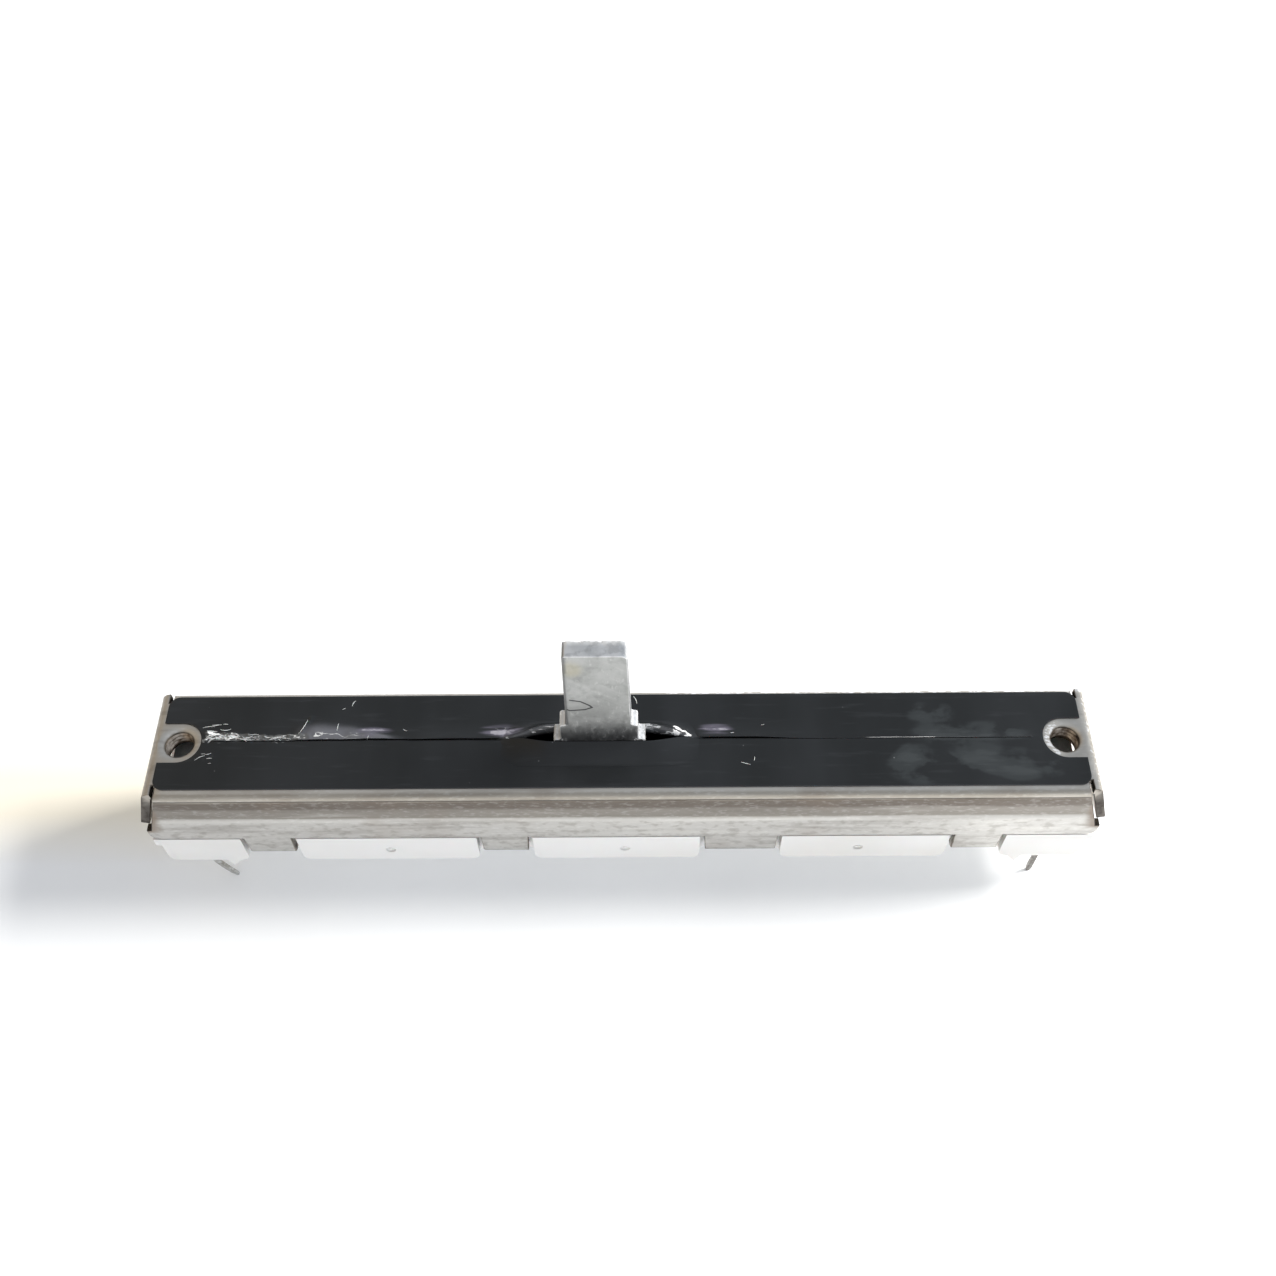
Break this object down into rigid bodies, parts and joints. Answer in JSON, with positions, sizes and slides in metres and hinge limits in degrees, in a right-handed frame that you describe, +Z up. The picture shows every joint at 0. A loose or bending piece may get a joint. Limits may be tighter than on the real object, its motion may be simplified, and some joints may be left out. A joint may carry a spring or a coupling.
{
  "type": "slide potentiometer",
  "caption": "Straight slide potentiometer: folded steel frame with tapped screw holes, dust seal film, stepped flat lever, moulded base and solder pins.",
  "frame": {"origin": "on the plane of the pin tips, under the middle of the body", "axes": "+X along the travel, +Y towards the rear pin row, +Z up along the lever"},
  "size_m": [0.0882, 0.0114, 0.0327],
  "materials": {
    "plated_steel": "dull plated, smudged",
    "seal_film": "satin black film",
    "white_plastic": "moulded satin",
    "phenolic_board": "pressed paper board",
    "carbon_print": "printed carbon",
    "tinned_brass": "tin plated",
    "rod_steel": "ground bright",
    "lever_steel": "satin plated, scratched",
    "acetal": "moulded satin",
    "contact_bronze": "bright stamped",
    "spring_steel": "bright stamped"
  },
  "bodies": {
    "housing": {"frame": "plated_steel", "dust_seal": "seal_film", "base": "white_plastic", "resistor_board": "phenolic_board", "resistive_track": "carbon_print", "collector_track": "carbon_print", "terminal_left_front": "tinned_brass", "terminal_left_rear": "tinned_brass", "terminal_right_front": "tinned_brass", "terminal_right_rear": "tinned_brass", "eyelet_left_front": "tinned_brass", "eyelet_left_rear": "tinned_brass", "eyelet_right_front": "tinned_brass", "eyelet_right_rear": "tinned_brass", "end_block_left": "white_plastic", "end_block_right": "white_plastic", "guide_rod_front": "rod_steel", "guide_rod_rear": "rod_steel"},
    "slider": {"lever": "lever_steel", "carriage": "acetal", "wiper": "contact_bronze", "slider_spring": "spring_steel"}
  },
  "joints": [
    {"name": "slide_travel", "type": "slide", "parent": "housing", "child": "slider", "axis": [1, 0, 0], "range_m": [-0.0281, 0.0319]}
  ]
}
